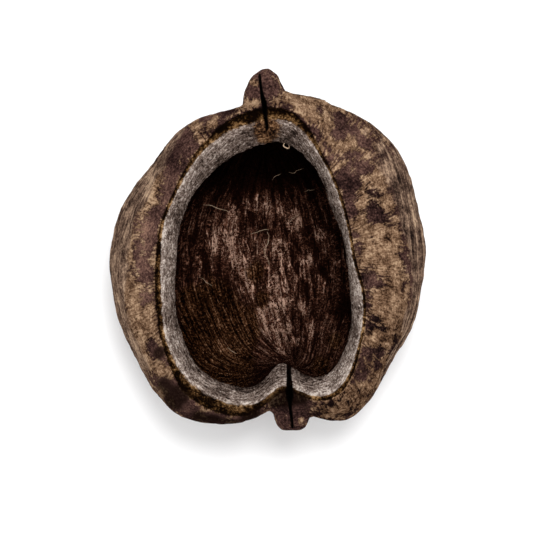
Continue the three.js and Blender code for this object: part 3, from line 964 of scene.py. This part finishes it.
def rindLook(coords, skin, look):
    # dark skin worn to tan fibres in fringed patches
    paint = podPaint
    grain, cloud, patches, tintAndPaintedLight = (look[name] for name in ("grain", "cloud", "patches", "tintAndPaintedLight"))
    broad = coords.noise(paint["broadScale"], 3, 0.5)
    fringe = skin.stretched((1.5, 0.28, 0)).noise(1.0, 4, 0.7)
    frayed = (fringe - 0.5) * (1.2 - skin.part(1).step(6.0, 14.0) * 0.45)
    worn = patches * paint["patchPull"] + cloud.swing(0.85) + frayed + grain.swing(0.35) + paint["wornShare"]
    wornMask = worn.step(0.44, 0.54)
    darkTone = grain.swing(2.2) + broad.swing(1.2) + cloud.swing(0.9) + tintAndPaintedLight * 0.3 + paint["darkSkinTone"]
    wornTone = fringe.swing(1.1) + grain.swing(2.0) + cloud.swing(1.8) + worn.swing(0.5)
    wornTone = wornTone + patches * 0.06 + tintAndPaintedLight * 0.2 + paint["wornSkinTone"]
    colour = wornMask.mix(ramp(darkTone, "darkSkin"), ramp(wornTone, "wornSkin"))
    height = wornMask * 0.25 + grain * 1.1 + fringe * 0.9
    return colour, height, wornMask


def flankLook(coords, skin, look):
    # lengthwise streaks of grey and tan fibres
    lengthwise = skin.make("ShaderNodeCombineXYZ", X=skin.part(2), Y=coords.part(1) * 60.0)
    streaks = lengthwise.noise(0.8, 5, 0.72, 0.3)
    tone = streaks.swing(2.4) + look["grain"].swing(1.7) + look["cloud"].swing(1.8) + look["patches"] * 0.2
    return ramp(tone + podPaint["flankTone"], "flank"), streaks * 1.5 + look["grain"] * 0.6


def recessLook(look):
    # the narrow recess behind the lip, golden brown and fibrous, with painted shade along the lip's edge
    # painted shade: darker next to the lip, which overhangs the recess
    tone = look["grain"].swing(3.0) + look["cloud"].swing(3.2) + look["rimPlace"].step(0.05, 0.8) * 0.46
    # the brown patches add painted shade under the lip by the beak
    tone = tone + look["patches"].step(-1.0, 0.0) * 0.15 + podPaint["recessTone"]
    return ramp(tone, "recess")


def bandLook(skin, look):
    # grey felt of short fibres, with a painted highlight along its outer edge and painted shade along its
    # inner edge, and brown tissue at the end of the beak's crack
    flecks, cloud = look["flecks"], look["cloud"]
    felt = skin.stretched((0.5, 2.0, 0)).noise(1.0, 5, 0.75, 0.4)
    inwards = look["rimPlace"] - 1.0
    # painted highlight along the outer edge and painted shade along the inner edge, where the band falls to
    # the cavity
    paintedEdgeLight = inwards.step(0.3, 0.02)
    paintedInnerShade = inwards.step(0.45, 1.0)
    tone = felt.swing(2.3) + flecks.swing(1.9) + cloud.swing(1.5) + paintedEdgeLight * 0.2 - paintedInnerShade * 0.2
    band = ramp(tone + look["patches"] * 0.13 + podPaint["bandTone"], "band")
    tissue = ramp(look["grain"].swing(3.0) + cloud.swing(2.2) + podPaint["tissueTone"], "tissue")
    tissueMask = (look["tissue"] + cloud.swing(1.6) + flecks.swing(1.4)).step(0.3, 0.75)
    return tissueMask.mix(band, tissue), felt * 1.1 + flecks * 1.2


def liningLook(lining, look):
    # black between crumpled crests, with painted highlights on the crests and painted shade in the grooves,
    # rusty and hairy below
    crest, crumple, tintAndPaintedLight = lining.part(2), look["crumple"], look["tintAndPaintedLight"]
    strands = lining.stretched((0.55, 0.14, 0)).noise(1.0, 5, 0.7, 0.8)
    longNoise = lining.stretched((0.42, 0.08, 0)).noise(1.0, 3, 0.65, 0.6)
    netNoise = lining.stretched((0.45, 1.1, 0)).noise(1.0, 2, 0.6, 1.0)
    fineLines = lining.stretched((1.2, 1.9, 0)).noise(1.0, 1, 0.5, 0.6).thinLine(0.045)
    # painted highlights: thin lines along the crests, and their slopes, lighten the colour as well as raise
    # the bump
    lines = longNoise.thinLine(0.026).orMore(netNoise.thinLine(0.034) * 0.8).orMore(fineLines * 0.5)
    slopes = longNoise.thinLine(0.08) * 0.1 + netNoise.thinLine(0.1) * 0.1
    # the crest attribute and the crumple paint small highlights and shade into the colour
    tone = crest * 0.14 + lines * 0.75 + slopes + crumple.swing(2.9) + podPaint["liningTone"]
    # painted shade in the grooves between the strands
    tone = tone * (strands.step(0.38, 0.6) * 0.7 + 0.4)
    # painted highlight where the crests catch the light, and painted shade under the beak and by the walls
    tone = tone * (tintAndPaintedLight * 0.55 + 0.55) + 0.01 + tintAndPaintedLight * 0.04
    hairs = lining.stretched((2.0, 0.12, 0)).noise(1.0, 4, 0.8, 0.4)
    rustTone = hairs.swing(2.6) + crumple.swing(2.6) + lines * 0.3 + tintAndPaintedLight * 0.2 + podPaint["rustTone"]
    rustMask = (look["rust"] + look["cloud"].swing(1.0)).step(0.3, 0.8)
    height = strands * 1.2 + lines * 0.5 + slopes * 2.0 + crumple * 1.0
    return rustMask.mix(ramp(tone, "lining"), ramp(rustTone, "rust")), height


def podMaterial():
    paint = podPaint
    material, shader, wire = newMaterial("podSkin")
    coords = wire.make("ShaderNodeTexCoord", output=3)
    skin, lining = attribute(wire, "skinPlace"), attribute(wire, "liningPlace")
    zones, tones, liningTones = (attribute(wire, name) for name in ("zones", "tones", "liningTones"))
    inside, flank, seam, paintedShade = zones.part(1), tones.part(1), tones.part(2), tones.part(0)
    cloud = coords.noise(paint["cloudScale"], 5, 0.65)
    grain = coords.noise(paint["grainScale"], 4, 0.75)
    look = {
        "rimPlace": zones.part(0),
        "patches": zones.part(2),
        "tintAndPaintedLight": liningTones.part(0),
        "rust": liningTones.part(1),
        "tissue": liningTones.part(2),
        "cloud": cloud,
        "grain": grain,
        "flecks": coords.noise(paint["fleckScale"], 3, 0.75),
        "crumple": coords.noise(paint["crumpleScale"], 4, 0.8),
    }
    rindColour, rindHeight, wornMask = rindLook(coords, skin, look)
    flankColour, flankHeight = flankLook(coords, skin, look)
    bandColour, bandHeight = bandLook(skin, look)
    liningColour, liningHeight = liningLook(lining, look)

    ragged = coords.noise(paint["raggedScale"], 3, 0.6).swing(0.5)
    flankMask = (flank + cloud.swing(1.4)).step(0.35, 0.8)
    onRecess = (look["rimPlace"] + ragged * 0.4).step(-0.12, 0.1)
    onBand = (look["rimPlace"] + ragged).step(0.8, 1.0)
    # painted shade: the rind turns nearly black on the lower left, along the bottom and by the cleft
    shadeDarkening = (paintedShade * 1.3 + cloud.swing(2.0) + grain.swing(1.6) - 0.25).step(0.0, 0.9) * paintedShade.step(0.0, 0.3)
    # painted shade: near black on the walls and edges of the open crack
    crack = seam.step(0.4, 0.1) * (1 - inside)
    colour = flankMask.mix(rindColour, flankColour)
    colour = onRecess.mix(colour, recessLook(look))
    colour = (shadeDarkening * paint["shadeDarkeningStrength"]).mix(colour, podColours["shadeDarkening"])
    colour = onBand.mix(colour, bandColour)
    colour = inside.mix(colour, liningColour)
    colour = crack.mix(colour, podColours["crack"])
    wire.tree.links.new(colour.socket, shader.inputs["Base Color"])

    rindRoughness = wornMask * paint["wornExtraRoughness"] + paint["rindRoughness"]
    roughness = rindRoughness * (1 - inside) + inside * paint["liningRoughness"]
    wire.tree.links.new(roughness.socket, shader.inputs["Roughness"])
    shader.inputs["Specular IOR Level"].default_value = 0.0

    height = rindHeight * (1 - flankMask) + flankHeight * flankMask
    height = height * (1 - onBand) + bandHeight * onBand
    height = height * (1 - inside) + liningHeight * inside
    bump = wire.make("ShaderNodeBump", Strength=1.0, Distance=paint["bumpHeight"], Height=height)
    wire.tree.links.new(bump.socket, shader.inputs["Normal"])
    return material


def fibreMaterial():
    material, shader, wire = newMaterial("paleFibre")
    grain = wire.make("ShaderNodeTexCoord", output=3).noise(1800, 3, 0.7)
    wire.tree.links.new(ramp(grain.swing(1.8) + 0.5, "fibre").socket, shader.inputs["Base Color"])
    shader.inputs["Roughness"].default_value = 0.8
    shader.inputs["Specular IOR Level"].default_value = 0.1
    return material


# The pale floor, four metres wide, and the even light from all round
studio = {
    "floorSide": 4,
    "floorColour": (0.93, 0.93, 0.935, 1),
    "floorRoughness": 0.9,
    "daylight": 0.68,
}


def buildStage():
    bpy.ops.mesh.primitive_plane_add(size=studio["floorSide"], location=(0, 0, 0))
    floor = bpy.context.active_object
    floor.name = "floor"
    material, shader, wire = newMaterial("floorWhite")
    shader.inputs["Base Color"].default_value = studio["floorColour"]
    shader.inputs["Roughness"].default_value = studio["floorRoughness"]
    floor.data.materials.append(material)


# Lights: power in watts, the size of each lamp and where it stands, in metres
lamps = {
    "key": {"power": 4.4, "size": 0.24, "place": (0.05, 0.2, 0.86)},
    "overhead": {"power": 5.0, "size": 1.2, "place": (0.02, 0.06, 1.0)},
}


def buildLights():
    for name, lamp in lamps.items():
        bpy.ops.object.light_add(type="AREA", location=lamp["place"])
        light = bpy.context.active_object
        light.name = name
        light.data.shape = "DISK"
        light.data.size = lamp["size"]
        light.data.energy = lamp["power"]
        aim = -light.location.normalized()
        light.rotation_mode = "QUATERNION"
        light.rotation_quaternion = aim.to_track_quat("-Z", "Y")
    world = bpy.data.worlds.new("studio")
    world.use_nodes = True
    background = world.node_tree.nodes["Background"]
    background.inputs["Color"].default_value = (1, 1, 1, 1)
    background.inputs["Strength"].default_value = studio["daylight"]
    bpy.context.scene.world = world
    bpy.context.scene.view_settings.view_transform = "Standard"


def buildCamera():
    view = cameraView
    aimX, aimY = view["aim"]
    bpy.ops.object.camera_add(location=(aimX * mm, aimY * mm, view["height"] * mm), rotation=(0, 0, 0))
    camera = bpy.context.active_object
    camera.name = "photoCamera"
    camera.data.sensor_width = view["sensor"]
    width = view["imageSide"] * view["pixelSize"]
    camera.data.lens = view["sensor"] * (view["height"] - view["beltHeight"]) / width
    camera.data.clip_start = 0.01
    bpy.context.scene.camera = camera


buildCamera()
pod = buildPod()
pod.data.materials.clear()
pod.data.materials.append(podMaterial())
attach(pod, "root")
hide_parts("pod")
print("pod built")

fibres = buildFibres(pod)
fibres.data.materials.clear()
fibres.data.materials.append(fibreMaterial())
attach(fibres, "root")
print("fibres laid")

buildStage()
buildLights()
print("stage set")
